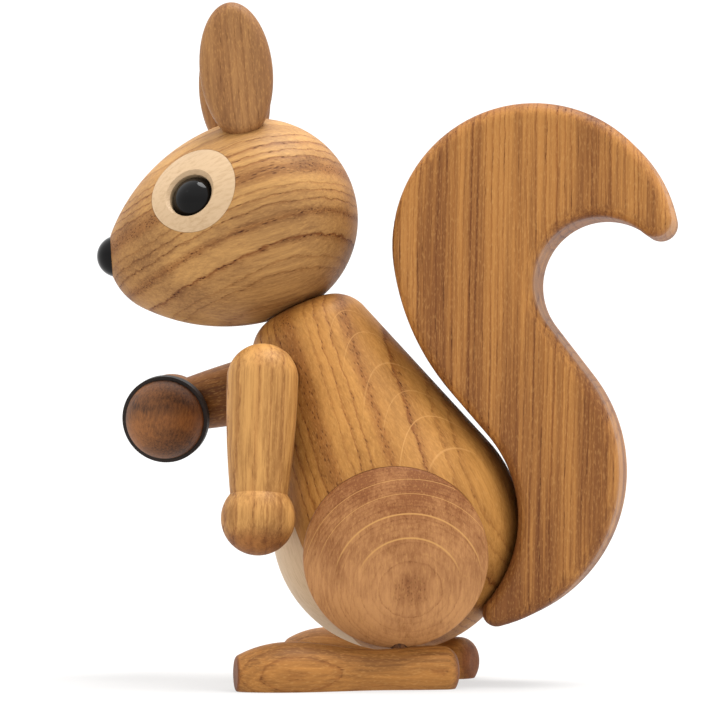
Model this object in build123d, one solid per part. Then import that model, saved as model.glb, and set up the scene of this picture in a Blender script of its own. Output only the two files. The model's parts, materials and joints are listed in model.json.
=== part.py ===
from build123d import *
import os
from math import acos, asin, atan2, cos, degrees, hypot, radians, sin, sqrt, tan

# Oak squirrel figurine: a turned body and egg-shaped head, swinging arms and a sawn tail.
# Millimetres, +Z up. It faces -X, its left side is -Y, and it stands on the plane Z = 0.
# Modelled in the pose it is shown in: head turned to its left, left arm down, right arm raised.

# Fits
GLUE_GAP = 0.05          # room for glue round a dowel, shank or inlay
RUN_GAP = 0.05           # radial room round the three dowels that turn
SEAT_GAP = 0.15          # between flat faces that turn on each other
BOTTOM_GAP = 0.5         # a hole is this much deeper than its dowel

# Body: a pear of revolution, leaning forward
BODY_X = 1.90            # the bulb's centre; everything else is set out from it
BULB_RADIUS = 22.3
BULB_ABOVE_GROUND = 5.55
BODY_LEAN = 24.8
BODY_TOP = 43.05         # from the bulb's centre to the flat top, along the axis
BODY_TOP_RADIUS = 9.46   # where the cone above the bulb meets the top, before rounding
BODY_TOP_ROUND = 6.8

# Belly: a light disc set flush into the front of the bulb, square to the body's axis
BELLY_INSET = 5.0        # the disc's radius is this much less than the bulb's
BELLY_RIM = 2.6          # the disc's thickness at its rim

# Haunches: low domes let into the sides of the bulb, flush above and overhanging below
HAUNCH_INSET = 6.2       # a haunch's radius is this much less than the bulb's
HAUNCH_TURN = 8.0        # towards the tail
HAUNCH_DROP = 10.0       # towards the ground
HAUNCH_OFFSET = 2.0      # a haunch's middle below the bulb's radius it is square to
HAUNCH_LET_IN = 0.8      # depth of the pocket at the upper edge
HAUNCH_RIM = 1.1
HAUNCH_DOME_RADIUS = 25.5
HAUNCH_EDGE = 0.7
HIP_DOWEL_DIAMETER = 5.0
HIP_DOWEL_IN_BODY = 7.0
HIP_DOWEL_IN_HAUNCH = 4.0

# Feet: turned, flat below, heels together and toes out
FOOT_LENGTH = 39.2
FOOT_AXIS_Z = 3.0
FOOT_SPLAY = 20.6
HEEL_BACK = 12.35        # behind the bulb's centre
HEEL_ASIDE = 10.9
TOE_RADIUS = 3.0
BALL_RADIUS = 5.4
BALL_FROM_TOE = 11.4
WAIST_RADIUS = 3.9
WAIST_FROM_TOE = 25.0
HEEL_RADIUS = 4.4
HEEL_FROM_TOE = 33.0
HEEL_END_RADIUS = 4.2
HEEL_ROUND = 3.0
TOE_ROUND = 0.9
ANKLE_FROM_HEEL = 10.5
ANKLE_INSET = 1.2        # the dowel stands inside the foot's middle line
ANKLE_DOWEL_DIAMETER = 3.0
ANKLE_DOWEL_BOTTOM = 1.5
ANKLE_DOWEL_TOP = 17.5

# Head: an egg of three arcs; its round back is centred on the neck's axis
HEAD_BACK_RADIUS = 18.12
HEAD_SIDE_RADIUS = 33.4
HEAD_NOSE_RADIUS = 10.95
HEAD_REACH = 17.0        # between the centres of the back and nose arcs
HEAD_SEAT = 17.45        # from the back's centre to the flat on the neck
HEAD_DROP = 21.9         # the egg's axis points this far below level
HEAD_TURN = 13.7         # to its left, about the neck
NECK_DOWEL_DIAMETER = 7.0
NECK_DOWEL_IN_HEAD = 13.0
NECK_DOWEL_IN_BODY = 15.0

# Ears: oval paddles seated on the head
EAR_HALF_WIDTH = 6.5
EAR_HALF_HEIGHT = 12.3
EAR_THICKNESS = 5.6
EAR_ROUND = 2.4
EAR_FORWARD = 4.2        # ear's middle from the centre of the head's back
EAR_ABOVE_CROWN = 7.0
EAR_ASIDE = 9.9
EAR_LEAN = 6.2
EAR_DOWEL_DIAMETER = 3.0
EAR_DOWEL_IN_EAR = 8.0   # from the ear's lower end
EAR_DOWEL_IN_HEAD = 5.5

# Eyes: light discs set flush, each with a black bead sunk in it
EYE_RADIUS = 8.1
EYE_ALONG = 10.0         # from the centre of the head's back towards the nose
EYE_ROLL = 26.5          # above the side of the head
EYE_DEPTH = 5.0
BEAD_RADIUS = 4.0
BEAD_FORWARD = 0.8       # bead's middle from the disc's middle
BEAD_DOWN = 0.9
BEAD_CROWN_RADIUS = 4.6
BEAD_SINK = 1.9          # the bead's rim below the disc's face
BEAD_LENGTH = 2.4
COUNTERSINK = 1.0        # widening of the bead's hole at the face

# Nose: a black bead with a shank
NOSE_RADIUS = 3.75
NOSE_SINK = 2.15         # the bead's centre inside the egg's tip
NOSE_ABOVE = 2.75
NOSE_SHANK_DIAMETER = 2.6
NOSE_SHANK_LENGTH = 11.0

# Arms: turned clubs with a ball for a hand, swinging on shoulder dowels
SHOULDER_ALONG = 32.96   # shoulder's middle from the bulb's centre, along the body
SHOULDER_AHEAD = 7.8     # in front of the body's axis
SHOULDER_STANDOFF = 5.1  # outside the body's radius there
ARM_SPREAD = 9.5         # hanging arms stand this far out
ARM_RADIUS = 6.25
ARM_TOP = 5.6
ARM_WRIST_RADIUS = 5.0
ARM_REACH = 25.1         # shoulder to hand
HAND_RADIUS = 6.45
ARM_FLAT = 5.3           # from the arm's axis to the flat on its inner side
LEFT_ARM_ANGLE = 0.0     # raised from hanging
RIGHT_ARM_ANGLE = 77.0
SHOULDER_FLAT_INSET = 0.5  # the flat on the body is this much smaller than the arm
SHOULDER_DOWEL_DIAMETER = 5.0
SHOULDER_DOWEL_IN_ARM = 8.0
SHOULDER_DOWEL_IN_BODY = 8.5

# Friction rings in grooves of the three dowels that turn
RING_SECTION = 1.2
RING_ROOM = 0.02         # ring to groove and ring to bore
RING_SIDE_ROOM = 0.1

# Acorn in the right hand: a dark nut in a black cap, pinned to the palm
PALM_ANGLE = 9.0         # the acorn points inwards and this far down
ACORN_BELOW_HAND = 0.8   # the acorn's axis below and behind the hand's middle
ACORN_BEHIND_HAND = 0.45
CAP_RADIUS = 8.0
CAP_THICKNESS = 2.6
CAP_EDGE = 0.7
CAP_FROM_HAND = 5.6
NUT_RADIUS = 7.35
NUT_CENTRE_DEPTH = 0.9   # the nut's round centre behind the cap's face
NUT_SOCKET = 1.2
ACORN_PIN_DIAMETER = 2.5
ACORN_PIN_IN_HAND = 5.0
ACORN_PIN_IN_NUT = 4.0

# Tail: a sawn S of arcs and the lines between them, its foot coved to the bulb. The front arc is set
# out from the seat and the hook from the lower arc, each by a line's length and a bearing above level
TAIL_THICKNESS = 20.0
TAIL_EDGE = 2.6
SEAT_BACK = 0.35         # the sawn seat's centre behind and above the bulb's
SEAT_UP = 1.75
FRONT_RADIUS = 43.5
FRONT_LINE = 9.8
FRONT_BEARING = 49.4
LOBE_RADIUS = 24.85
LOBE_BEARING = 8.0       # from the lobe's centre to the front arc's
LOWER_BACK = 12.55       # the lower arc's centre behind and above the bulb's
LOWER_UP = 9.8
LOWER_RADIUS = 27.9
HOOK_RADIUS = 11.6
BACK_LINE = 11.2
HOOK_BEARING = 53.4
HOOK_TIP_RADIUS = 3.0
FOOT_TIP_RADIUS = 2.5
TAIL_DOWEL_DIAMETER = 5.0
TAIL_DOWEL_SPACING = 10.0
TAIL_DOWELS_BELOW = 4.5  # their middle below the bulb's
TAIL_DOWEL_IN_BODY = 9.0
TAIL_DOWEL_IN_TAIL = 7.0

LEFT, RIGHT = -1, 1
SIDES = {"left": LEFT, "right": RIGHT}
TAIL_DOWELS = {"upper_tail_dowel": 0.5, "lower_tail_dowel": -0.5}

# Frames: each has its Z along the piece's own axis
body_axis = Vector(-sin(radians(BODY_LEAN)), 0, cos(radians(BODY_LEAN)))
body_back = Vector(cos(radians(BODY_LEAN)), 0, sin(radians(BODY_LEAN)))
bulb_centre = Vector(BODY_X, 0, BULB_ABOVE_GROUND + BULB_RADIUS)
# Half angle of the cone that leaves the bulb and meets the top
shoulder_slope = asin(BULB_RADIUS / hypot(BODY_TOP, BODY_TOP_RADIUS)) - atan2(BODY_TOP_RADIUS, BODY_TOP)
belly_radius = BULB_RADIUS - BELLY_INSET
belly_floor = sqrt(BULB_RADIUS**2 - belly_radius**2) - BELLY_RIM
haunch_radius = BULB_RADIUS - HAUNCH_INSET
BODY = Plane(bulb_centre, x_dir=body_back, z_dir=body_axis)
NECK = Plane(BODY.from_local_coords((0, 0, BODY_TOP)), x_dir=body_back, z_dir=body_axis)
BELLY = Plane(bulb_centre, x_dir=body_axis, z_dir=-body_back)

head_centre = NECK.from_local_coords((0, 0, SEAT_GAP + HEAD_SEAT))
neck_turn = Axis((0, 0, 0), body_axis)


def turned(direction):
    """A direction on the head, after the head's turn on its neck."""
    return Vector(direction).rotate(neck_turn, HEAD_TURN)


# Along the egg: X up the brow, Y to its right, Z out of the nose
nose_direction = turned((-cos(radians(HEAD_DROP)), 0, -sin(radians(HEAD_DROP))))
brow_direction = turned((-sin(radians(HEAD_DROP)), 0, cos(radians(HEAD_DROP))))
EGG = Plane(head_centre, x_dir=brow_direction, z_dir=nose_direction)
# Level on the head: X back, Y to its right, Z up
SKULL = Plane(head_centre, x_dir=turned((1, 0, 0)), z_dir=turned((0, 0, 1)))


def arm_plane(side):
    """At a shoulder: X along the dowel out of the body, Z down the arm."""
    spread = radians(ARM_SPREAD)
    outward = Vector(0, side * cos(spread), sin(spread))
    hanging = Vector(0, side * sin(spread), -cos(spread))
    cone_radius = (BULB_RADIUS - SHOULDER_ALONG * sin(shoulder_slope)) / cos(shoulder_slope)
    aside = side * (cone_radius + SHOULDER_STANDOFF)
    shoulder = BODY.from_local_coords((-SHOULDER_AHEAD, aside, SHOULDER_ALONG))
    raise_angle = LEFT_ARM_ANGLE if side == LEFT else RIGHT_ARM_ANGLE
    forward = Vector(-1, 0, 0)
    along = hanging * cos(radians(raise_angle)) + forward * sin(radians(raise_angle))
    return Plane(shoulder, x_dir=outward, z_dir=along)


def shoulder_plane(side):
    """The flat where an arm meets the body, Z out of the body."""
    arm = arm_plane(side)
    origin = arm.from_local_coords((-ARM_FLAT - SEAT_GAP, 0, 0))
    return Plane(origin, x_dir=(1, 0, 0), z_dir=arm.x_dir)


def haunch_plane(side):
    """The floor of a haunch's pocket: X up the haunch, Z outwards."""
    turn = radians(HAUNCH_TURN)
    drop = radians(HAUNCH_DROP)
    level = Vector(sin(turn), side * cos(turn), 0)
    outward = level * cos(drop) - Vector(0, 0, sin(drop))
    up = level * sin(drop) + Vector(0, 0, cos(drop))
    depth = sqrt(BULB_RADIUS**2 - (haunch_radius - HAUNCH_OFFSET)**2) - HAUNCH_LET_IN
    return Plane(bulb_centre + outward * depth - up * HAUNCH_OFFSET, x_dir=up, z_dir=outward)


def foot_plane(side):
    """At the heel, on the ground: Z towards the toe."""
    splay = radians(FOOT_SPLAY)
    toe_way = Vector(-cos(splay), side * sin(splay), 0)
    heel = (BODY_X + HEEL_BACK, side * HEEL_ASIDE, FOOT_AXIS_Z)
    return Plane(heel, x_dir=(0, 0, 1), z_dir=toe_way)


def rod(plane, diameter, low, high):
    """A round rod along a plane's Z, between two heights."""
    return plane * Pos(0, 0, low) * Cylinder(
        diameter / 2, high - low, align=(Align.CENTER, Align.CENTER, Align.MIN)
    )


def dowel(plane, diameter, low, high):
    """A rod with chamfered ends."""
    solid = Cylinder(diameter / 2, high - low, align=(Align.CENTER, Align.CENTER, Align.MIN))
    solid = chamfer(solid.edges().filter_by(GeomType.CIRCLE), diameter / 10)
    return plane * Pos(0, 0, low) * solid


def glued_hole(plane, diameter, low, high):
    """The hole for a glued dowel, deeper than it at both ends."""
    return rod(plane, diameter + 2 * GLUE_GAP, low - BOTTOM_GAP, high + BOTTOM_GAP)


def spun(outline):
    """A closed outline in X (radius) and Z, turned about Z."""
    return revolve(make_face(Plane.XZ * outline), Axis.Z)


def pear(gap=0.0):
    """The turned blank of the body, or the room for it with a gap all round."""
    radius = BULB_RADIUS + gap
    half = shoulder_slope / 2 - radians(45)
    leave = (radius * cos(shoulder_slope), radius * sin(shoulder_slope))
    top = BODY_TOP + gap
    top_radius = leave[0] - (top - leave[1]) * tan(shoulder_slope)
    outline = Curve() + [
        ThreePointArc((0, -radius), (radius * cos(half), radius * sin(half)), leave),
        Line(leave, (top_radius, top)),
        Line((top_radius, top), (0, top)),
        Line((0, top), (0, -radius)),
    ]
    solid = spun(outline)
    rim = solid.edges().filter_by(GeomType.CIRCLE).sort_by(Axis.Z)[-1]
    return BODY * fillet(rim, BODY_TOP_ROUND)


def haunch_cut(side):
    """What a haunch's pocket takes off the bulb."""
    return rod(haunch_plane(side), 2 * (haunch_radius + GLUE_GAP), -GLUE_GAP, BULB_RADIUS)


def haunch(side, gap=0.0):
    """A haunch, or the room for it with a gap all round."""
    dome_centre = HAUNCH_RIM - sqrt(HAUNCH_DOME_RADIUS**2 - haunch_radius**2)
    radius = haunch_radius + gap
    dome = HAUNCH_DOME_RADIUS + gap
    rim = (radius, dome_centre + sqrt(dome**2 - radius**2))
    half = atan2(rim[0], rim[1] - dome_centre) / 2
    middle = (dome * sin(half), dome_centre + dome * cos(half))
    top = (0, dome_centre + dome)
    outline = Curve() + [
        Line((0, -gap), (radius, -gap)),
        Line((radius, -gap), rim),
        ThreePointArc(rim, middle, top),
        Line(top, (0, -gap)),
    ]
    solid = spun(outline)
    edge = solid.edges().filter_by(lambda e: e.is_closed).sort_by(Axis.Z)[-1]
    return haunch_plane(side) * fillet(edge, HAUNCH_EDGE)


def hip(side):
    """Where a hip dowel goes: its plane, diameter and two ends."""
    return haunch_plane(side), HIP_DOWEL_DIAMETER, -HIP_DOWEL_IN_BODY, HIP_DOWEL_IN_HAUNCH


def ankle(side):
    """Where an ankle dowel goes, upright through foot, haunch and body."""
    splay = radians(FOOT_SPLAY)
    x = BODY_X + HEEL_BACK - ANKLE_FROM_HEEL * cos(splay)
    y = side * (HEEL_ASIDE + ANKLE_FROM_HEEL * sin(splay) - ANKLE_INSET)
    return Plane((x, y, 0)), ANKLE_DOWEL_DIAMETER, ANKLE_DOWEL_BOTTOM, ANKLE_DOWEL_TOP


def foot(side):
    length = FOOT_LENGTH
    toe = (TOE_RADIUS, length)
    heel = (HEEL_END_RADIUS, 0)
    side_line = Spline(
        heel,
        (HEEL_RADIUS, length - HEEL_FROM_TOE),
        (WAIST_RADIUS, length - WAIST_FROM_TOE),
        (BALL_RADIUS, length - BALL_FROM_TOE),
        toe,
    )
    outline = Curve() + [
        Line((0, 0), heel),
        side_line,
        Line(toe, (0, length)),
        Line((0, length), (0, 0)),
    ]
    solid = spun(outline)
    ends = solid.edges().filter_by(GeomType.CIRCLE).sort_by(Axis.Z)
    solid = fillet(ends[0], HEEL_ROUND)
    ends = solid.edges().filter_by(GeomType.CIRCLE).sort_by(Axis.Z)
    solid = foot_plane(side) * fillet(ends[-1], TOE_ROUND)
    below_ground = Pos(0, 0, -BALL_RADIUS) * Box(4 * length, 4 * length, 2 * BALL_RADIUS)
    bulb = pear(GLUE_GAP) - haunch_cut(side)
    return solid - below_ground - bulb - haunch(side, GLUE_GAP) - glued_hole(*ankle(side))


def belly():
    disc = rod(BELLY, 2 * (belly_radius - GLUE_GAP), belly_floor, 2 * BULB_RADIUS)
    return disc & pear() - haunch_cut(LEFT) - haunch_cut(RIGHT)


def neck_dowel():
    top = SEAT_GAP + NECK_DOWEL_IN_HEAD
    pin = dowel(NECK, NECK_DOWEL_DIAMETER, -NECK_DOWEL_IN_BODY, top)
    return pin - ring_groove(NECK, NECK_DOWEL_DIAMETER / 2 + RUN_GAP, -NECK_DOWEL_IN_BODY / 2)


def ring_groove(plane, bore, height):
    """The groove that lets a friction ring sit just inside its bore."""
    width = RING_SECTION + 2 * RING_SIDE_ROOM
    outer = rod(plane, 2 * bore, height - width / 2, height + width / 2)
    core = rod(plane, 2 * (bore - RING_SECTION - 2 * RING_ROOM), height - width, height + width)
    return outer - core


def friction_ring(plane, bore, height):
    section = RING_SECTION / 2
    return plane * Pos(0, 0, height) * Torus(bore - RING_ROOM - section, section)


def tail_joint(step):
    """Where a tail dowel goes: level, through the bulb's back into the tail."""
    z = step * TAIL_DOWEL_SPACING - TAIL_DOWELS_BELOW
    back = Vector(sqrt(BULB_RADIUS**2 - z**2), 0, z)
    plane = Plane(bulb_centre + back, x_dir=(0, 1, 0), z_dir=(1, 0, 0))
    return plane, TAIL_DOWEL_DIAMETER, -TAIL_DOWEL_IN_BODY, TAIL_DOWEL_IN_TAIL


def shoulder_dowel(side):
    plane = shoulder_plane(side)
    low = -SHOULDER_DOWEL_IN_BODY
    pin = dowel(plane, SHOULDER_DOWEL_DIAMETER, low, SEAT_GAP + SHOULDER_DOWEL_IN_ARM)
    return pin - ring_groove(plane, SHOULDER_DOWEL_DIAMETER / 2 + RUN_GAP, low / 2)


def shoulder_ring(side):
    bore = SHOULDER_DOWEL_DIAMETER / 2 + RUN_GAP
    return friction_ring(shoulder_plane(side), bore, -SHOULDER_DOWEL_IN_BODY / 2)


def body():
    solid = pear()
    solid -= rod(BELLY, 2 * belly_radius, belly_floor - GLUE_GAP, 2 * BULB_RADIUS)
    neck_hole = NECK_DOWEL_IN_BODY + BOTTOM_GAP
    solid -= rod(NECK, NECK_DOWEL_DIAMETER + 2 * RUN_GAP, -neck_hole, BODY_TOP_ROUND)
    for side in SIDES.values():
        solid -= haunch_cut(side)
        solid -= glued_hole(*hip(side))
        solid -= glued_hole(*ankle(side))
        shoulder = shoulder_plane(side)
        spot = ARM_RADIUS - SHOULDER_FLAT_INSET
        solid -= rod(shoulder, 2 * spot, 0, 2 * ARM_RADIUS)
        hole = SHOULDER_DOWEL_IN_BODY + BOTTOM_GAP
        solid -= rod(shoulder, SHOULDER_DOWEL_DIAMETER + 2 * RUN_GAP, -hole, ARM_RADIUS)
    for step in TAIL_DOWELS.values():
        solid -= glued_hole(*tail_joint(step))
    return solid


def finished_haunch(side):
    return haunch(side) - glued_hole(*hip(side)) - glued_hole(*ankle(side))


def egg_side():
    """The centre of the egg's side arc, tangent to its back and nose arcs: X outwards, Y along."""
    from_back = HEAD_SIDE_RADIUS - HEAD_BACK_RADIUS
    from_nose = HEAD_SIDE_RADIUS - HEAD_NOSE_RADIUS
    along = (from_back**2 - from_nose**2 + HEAD_REACH**2) / (2 * HEAD_REACH)
    return Vector(-sqrt(from_back**2 - along**2), along)


def egg():
    centre = egg_side()
    nose_centre = Vector(0, HEAD_REACH)
    leave = centre * (-HEAD_BACK_RADIUS / centre.length)
    arrive = nose_centre + (nose_centre - centre).normalized() * HEAD_NOSE_RADIUS
    low = Vector(0, -HEAD_BACK_RADIUS)
    tip = Vector(0, HEAD_REACH + HEAD_NOSE_RADIUS)
    outline = Curve() + [
        arc_about(Vector(0, 0), low, leave, 1),
        arc_about(centre, leave, arrive, 1),
        arc_about(nose_centre, arrive, tip, 1),
        Line(tip, low),
    ]
    return EGG * spun(outline)


def ear_plane(side):
    """At an ear's middle: X back, Y out of the ear's face, Z up the ear."""
    up = HEAD_BACK_RADIUS + EAR_ABOVE_CROWN
    middle = SKULL.from_local_coords((-EAR_FORWARD, side * EAR_ASIDE, up))
    lean = radians(EAR_LEAN)
    tip_way = SKULL.z_dir * cos(lean) - SKULL.x_dir * sin(lean)
    back = SKULL.x_dir * cos(lean) + SKULL.z_dir * sin(lean)
    return Plane(middle, x_dir=back, z_dir=tip_way)


def ear_joint(side):
    """Where an ear's dowel goes, along the ear's own length."""
    low = -EAR_HALF_HEIGHT - EAR_DOWEL_IN_HEAD
    return ear_plane(side), EAR_DOWEL_DIAMETER, low, -EAR_HALF_HEIGHT + EAR_DOWEL_IN_EAR


def ear(side):
    face = Plane.XZ * Ellipse(EAR_HALF_WIDTH, EAR_HALF_HEIGHT)
    paddle = extrude(face, EAR_THICKNESS / 2, both=True)
    paddle = fillet(paddle.faces().filter_by(Axis.Y).edges(), EAR_ROUND)
    return ear_plane(side) * paddle - egg() - glued_hole(*ear_joint(side))


def eye_plane(side):
    """On the egg's side: X towards the nose, Z out of the eye."""
    centre = egg_side()
    slope = acos((EYE_ALONG - centre.Y) / HEAD_SIDE_RADIUS)
    radius = centre.X + HEAD_SIDE_RADIUS * sin(slope)
    roll = radians(EYE_ROLL)
    outward = EGG.x_dir * sin(roll) + EGG.y_dir * (side * cos(roll))
    origin = head_centre + outward * radius + EGG.z_dir * EYE_ALONG
    normal = outward * sin(slope) + EGG.z_dir * cos(slope)
    towards_nose = EGG.z_dir * sin(slope) - outward * cos(slope)
    return Plane(origin, x_dir=towards_nose, z_dir=normal)


def bead_plane(side):
    """The bead's own axis, a little forward of and below the disc's middle."""
    eye = eye_plane(side)
    origin = eye.from_local_coords((BEAD_FORWARD, -side * BEAD_DOWN, 0))
    return Plane(origin, x_dir=eye.x_dir, z_dir=eye.z_dir)


def bead_hole(side):
    radius = BEAD_RADIUS + GLUE_GAP
    hole = rod(bead_plane(side), 2 * radius, -BEAD_SINK - BEAD_LENGTH - GLUE_GAP, BEAD_SINK)
    flare = Cone(radius, radius + 2 * COUNTERSINK, 2 * COUNTERSINK)
    return hole + bead_plane(side) * flare


def eye_disc(side):
    disc = rod(eye_plane(side), 2 * (EYE_RADIUS - GLUE_GAP), -EYE_DEPTH, EYE_DEPTH)
    return (disc & egg()) - bead_hole(side)


def eye_bead(side):
    rim = (BEAD_RADIUS, -BEAD_SINK)
    crown_centre = -BEAD_SINK - sqrt(BEAD_CROWN_RADIUS**2 - BEAD_RADIUS**2)
    half = atan2(BEAD_RADIUS, -BEAD_SINK - crown_centre) / 2
    middle = (BEAD_CROWN_RADIUS * sin(half), crown_centre + BEAD_CROWN_RADIUS * cos(half))
    top = (0, crown_centre + BEAD_CROWN_RADIUS)
    bottom = -BEAD_SINK - BEAD_LENGTH
    outline = Curve() + [
        Line((0, bottom), (BEAD_RADIUS, bottom)),
        Line((BEAD_RADIUS, bottom), rim),
        ThreePointArc(rim, middle, top),
        Line(top, (0, bottom)),
    ]
    return bead_plane(side) * spun(outline)


def nose_bead(gap=0.0, deeper=0.0):
    along = HEAD_REACH + HEAD_NOSE_RADIUS - NOSE_SINK
    plane = Plane(EGG.from_local_coords((NOSE_ABOVE, 0, along)), x_dir=EGG.x_dir, z_dir=EGG.z_dir)
    ball = plane * Sphere(NOSE_RADIUS + gap)
    return ball + rod(plane, NOSE_SHANK_DIAMETER + 2 * gap, -NOSE_SHANK_LENGTH - deeper, 0)


def head():
    solid = egg()
    solid -= rod(NECK, 4 * HEAD_BACK_RADIUS, -HEAD_BACK_RADIUS, SEAT_GAP)
    neck_hole = SEAT_GAP + NECK_DOWEL_IN_HEAD + BOTTOM_GAP
    solid -= rod(NECK, NECK_DOWEL_DIAMETER + 2 * GLUE_GAP, 0, neck_hole)
    solid -= nose_bead(GLUE_GAP, BOTTOM_GAP)
    for side in SIDES.values():
        solid -= rod(eye_plane(side), 2 * EYE_RADIUS, -EYE_DEPTH - GLUE_GAP, EYE_DEPTH)
        solid -= glued_hole(*ear_joint(side))
    return solid


def arm(side):
    round_end = Vector(0, ARM_RADIUS - ARM_TOP)
    hand = Vector(0, ARM_REACH)
    top = Vector(0, -ARM_TOP)
    widest = round_end + Vector(ARM_RADIUS, 0)
    wrist = hand + Vector(ARM_WRIST_RADIUS, -sqrt(HAND_RADIUS**2 - ARM_WRIST_RADIUS**2))
    fingertip = hand + Vector(0, HAND_RADIUS)
    outline = Curve() + [
        arc_about(round_end, top, widest, 1),
        TangentArc(widest, wrist, tangent=(0, 1)),
        arc_about(hand, wrist, fingertip, 1),
        Line(fingertip, top),
    ]
    solid = arm_plane(side) * spun(outline)
    shoulder = shoulder_plane(side)
    solid -= rod(shoulder, 2 * (ARM_TOP + ARM_RADIUS / 2), -ARM_RADIUS, SEAT_GAP)
    hole = SEAT_GAP + SHOULDER_DOWEL_IN_ARM + BOTTOM_GAP
    solid -= rod(shoulder, SHOULDER_DOWEL_DIAMETER + 2 * GLUE_GAP, 0, hole)
    if side == RIGHT:
        solid -= glued_hole(*acorn_joint())
    return solid


def hand_middle():
    return arm_plane(RIGHT).from_local_coords((0, 0, ARM_REACH))


def palm_plane():
    """At the right hand, on the acorn's axis, Z out of the palm."""
    tilt = radians(PALM_ANGLE)
    inward = Vector(0, -cos(tilt), -sin(tilt))
    origin = hand_middle() + Vector(ACORN_BEHIND_HAND, 0, -ACORN_BELOW_HAND)
    return Plane(origin, x_dir=(1, 0, 0), z_dir=inward)


def acorn_joint():
    """Where the acorn's pin goes, from the hand through the cap into the nut."""
    face = CAP_FROM_HAND + CAP_THICKNESS
    return palm_plane(), ACORN_PIN_DIAMETER, CAP_FROM_HAND - ACORN_PIN_IN_HAND, face + ACORN_PIN_IN_NUT


def nut(gap=0.0):
    face = CAP_FROM_HAND + CAP_THICKNESS
    ball = palm_plane() * Pos(0, 0, face - NUT_CENTRE_DEPTH) * Sphere(NUT_RADIUS + gap)
    seated = rod(palm_plane(), 4 * NUT_RADIUS, face - NUT_SOCKET - gap, face + 2 * NUT_RADIUS)
    return ball & seated


def acorn_nut():
    return nut() - glued_hole(*acorn_joint())


def acorn_cap():
    disc = Cylinder(CAP_RADIUS, CAP_THICKNESS, align=(Align.CENTER, Align.CENTER, Align.MIN))
    disc = fillet(disc.edges().filter_by(GeomType.CIRCLE).sort_by(Axis.Z)[0], CAP_EDGE)
    disc = palm_plane() * Pos(0, 0, CAP_FROM_HAND) * disc
    hand = Pos(hand_middle()) * Sphere(HAND_RADIUS + GLUE_GAP)
    return disc - hand - nut(GLUE_GAP) - glued_hole(*acorn_joint())


def meeting(centre, distance, other, other_distance):
    """The point at two distances from two centres, to the right of the way between them."""
    way = other - centre
    along = (distance**2 - other_distance**2 + way.length**2) / (2 * way.length)
    aside = sqrt(distance**2 - along**2)
    unit = way.normalized()
    return centre + unit * along + Vector(unit.Y, -unit.X) * aside


def polar(distance, bearing):
    return Vector(distance * cos(radians(bearing)), distance * sin(radians(bearing)))


def crossing_distance(radius, other_radius, line):
    """How far apart two circles are that a line of this length joins, passing between them."""
    return hypot(radius + other_radius, line)


def crossing_line(centre, radius, other, other_radius, line):
    """The line that leaves one circle anticlockwise and joins the other clockwise."""
    way = other - centre
    spread = radius + other_radius
    ahead = (way * line + Vector(-way.Y, way.X) * spread) / way.length**2
    left = Vector(-ahead.Y, ahead.X)
    return centre - left * radius, other + left * other_radius


def arc_about(centre, start, end, way):
    """An arc about a centre, anticlockwise for way 1 and clockwise for way -1."""
    first = degrees(atan2(start.Y - centre.Y, start.X - centre.X))
    last = degrees(atan2(end.Y - centre.Y, end.X - centre.X))
    return CenterArc(centre, (start - centre).length, first, way * ((last - first) * way % 360))


def tail_outline():
    bulb = Vector(bulb_centre.X, bulb_centre.Z)
    seat_radius = BULB_RADIUS
    seat = bulb + Vector(SEAT_BACK, SEAT_UP)
    front = seat + polar(crossing_distance(FRONT_RADIUS, seat_radius, FRONT_LINE), FRONT_BEARING)
    lobe = front - polar(FRONT_RADIUS - LOBE_RADIUS, LOBE_BEARING)
    lower = bulb + Vector(LOWER_BACK, LOWER_UP)
    hook = lower + polar(crossing_distance(LOWER_RADIUS, HOOK_RADIUS, BACK_LINE), HOOK_BEARING)
    tip = meeting(hook, HOOK_RADIUS + HOOK_TIP_RADIUS, lobe, LOBE_RADIUS - HOOK_TIP_RADIUS)
    point = meeting(seat, seat_radius + FOOT_TIP_RADIUS, lower, LOWER_RADIUS - FOOT_TIP_RADIUS)
    tip_top = lobe + (tip - lobe).normalized() * LOBE_RADIUS
    tip_under = hook + (tip - hook).normalized() * HOOK_RADIUS
    lobe_front = lobe - polar(LOBE_RADIUS, LOBE_BEARING)
    front_end, seat_start = crossing_line(front, FRONT_RADIUS, seat, seat_radius, FRONT_LINE)
    seat_end = seat + (point - seat).normalized() * seat_radius
    lower_start = lower + (point - lower).normalized() * LOWER_RADIUS
    lower_end, hook_start = crossing_line(lower, LOWER_RADIUS, hook, HOOK_RADIUS, BACK_LINE)
    return Curve() + [
        arc_about(lobe, tip_top, lobe_front, 1),
        arc_about(front, lobe_front, front_end, 1),
        Line(front_end, seat_start),
        arc_about(seat, seat_start, seat_end, -1),
        arc_about(point, seat_end, lower_start, 1),
        arc_about(lower, lower_start, lower_end, 1),
        Line(lower_end, hook_start),
        arc_about(hook, hook_start, tip_under, -1),
        arc_about(tip, tip_under, tip_top, 1),
    ]


def tail():
    plank = extrude(make_face(Plane.XZ * tail_outline()), TAIL_THICKNESS / 2, both=True)
    plank = fillet(plank.faces().filter_by(Axis.Y).edges(), TAIL_EDGE)
    plank -= pear(GLUE_GAP)
    for step in TAIL_DOWELS.values():
        plank -= glued_hole(*tail_joint(step))
    return plank


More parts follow.
